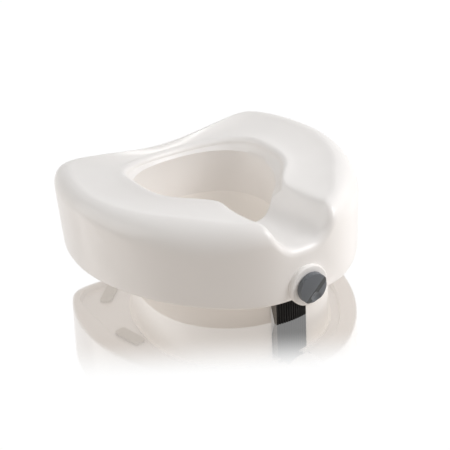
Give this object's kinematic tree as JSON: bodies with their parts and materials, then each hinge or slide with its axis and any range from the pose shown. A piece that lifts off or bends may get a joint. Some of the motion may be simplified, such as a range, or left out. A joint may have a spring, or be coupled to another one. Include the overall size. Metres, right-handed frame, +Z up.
{
  "type": "raised toilet seat",
  "caption": "Raised toilet seat: hollow moulded seat with a front hygiene scoop, a splash guard skirt, and a front knob whose screw drives a ribbed pad against the inside of the bowl.",
  "frame": {"origin": "on the surface the seat stands on, under the middle of the whole object's plan", "axes": "+Z up, -Y towards the front with the knob, +X to the right of someone facing the knob from the front"},
  "size_m": [0.4128, 0.4006, 0.167],
  "materials": {
    "seat_white": "satin moulded plastic",
    "guard_ivory": "satin moulded plastic, slightly warmer than the seat",
    "knob_grey": "satin grey-blue moulded plastic",
    "clamp_black": "matt black moulded plastic",
    "rubber_black": "matt black rubber",
    "rubber_pale": "matt pale grey rubber",
    "steel": "zinc plated steel"
  },
  "bodies": {
    "seat": {"seat_body": "seat_white", "splash_guard": "guard_ivory", "guard_screw_front_left": "steel", "guard_screw_front_right": "steel", "guard_screw_side_left": "steel", "guard_screw_side_right": "steel", "guard_screw_rear": "steel", "grip_pad_front_left": "rubber_pale", "grip_pad_front_right": "rubber_pale", "grip_pad_rear_left": "rubber_pale", "grip_pad_rear_right": "rubber_pale", "rear_stop_left": "rubber_black", "rear_stop_right": "rubber_black", "spindle_bush": "clamp_black"},
    "knob": {"knob": "knob_grey", "spindle": "steel", "thrust_washer": "steel", "retaining_clip": "steel"},
    "clamp": {"clamp_slider": "clamp_black", "clamp_nut": "steel", "pad_backing_plate": "steel", "clamp_pad": "rubber_black", "pad_screw_upper": "steel", "pad_screw_lower": "steel"}
  },
  "joints": [
    {"name": "knob_spin", "type": "hinge", "parent": "seat", "child": "knob", "pos_m": [0, -0.195, 0.0728], "axis": [0, 1, 0], "range_deg": [-4510, 1450]},
    {"name": "clamp_slide", "type": "slide", "parent": "seat", "child": "clamp", "axis": [0, -1, 0], "range_m": [-0.025, 0.008]}
  ],
  "couplings": [
    {"joint": "knob_spin", "follows": "clamp_slide", "rad_per_m": 3141.6}
  ]
}
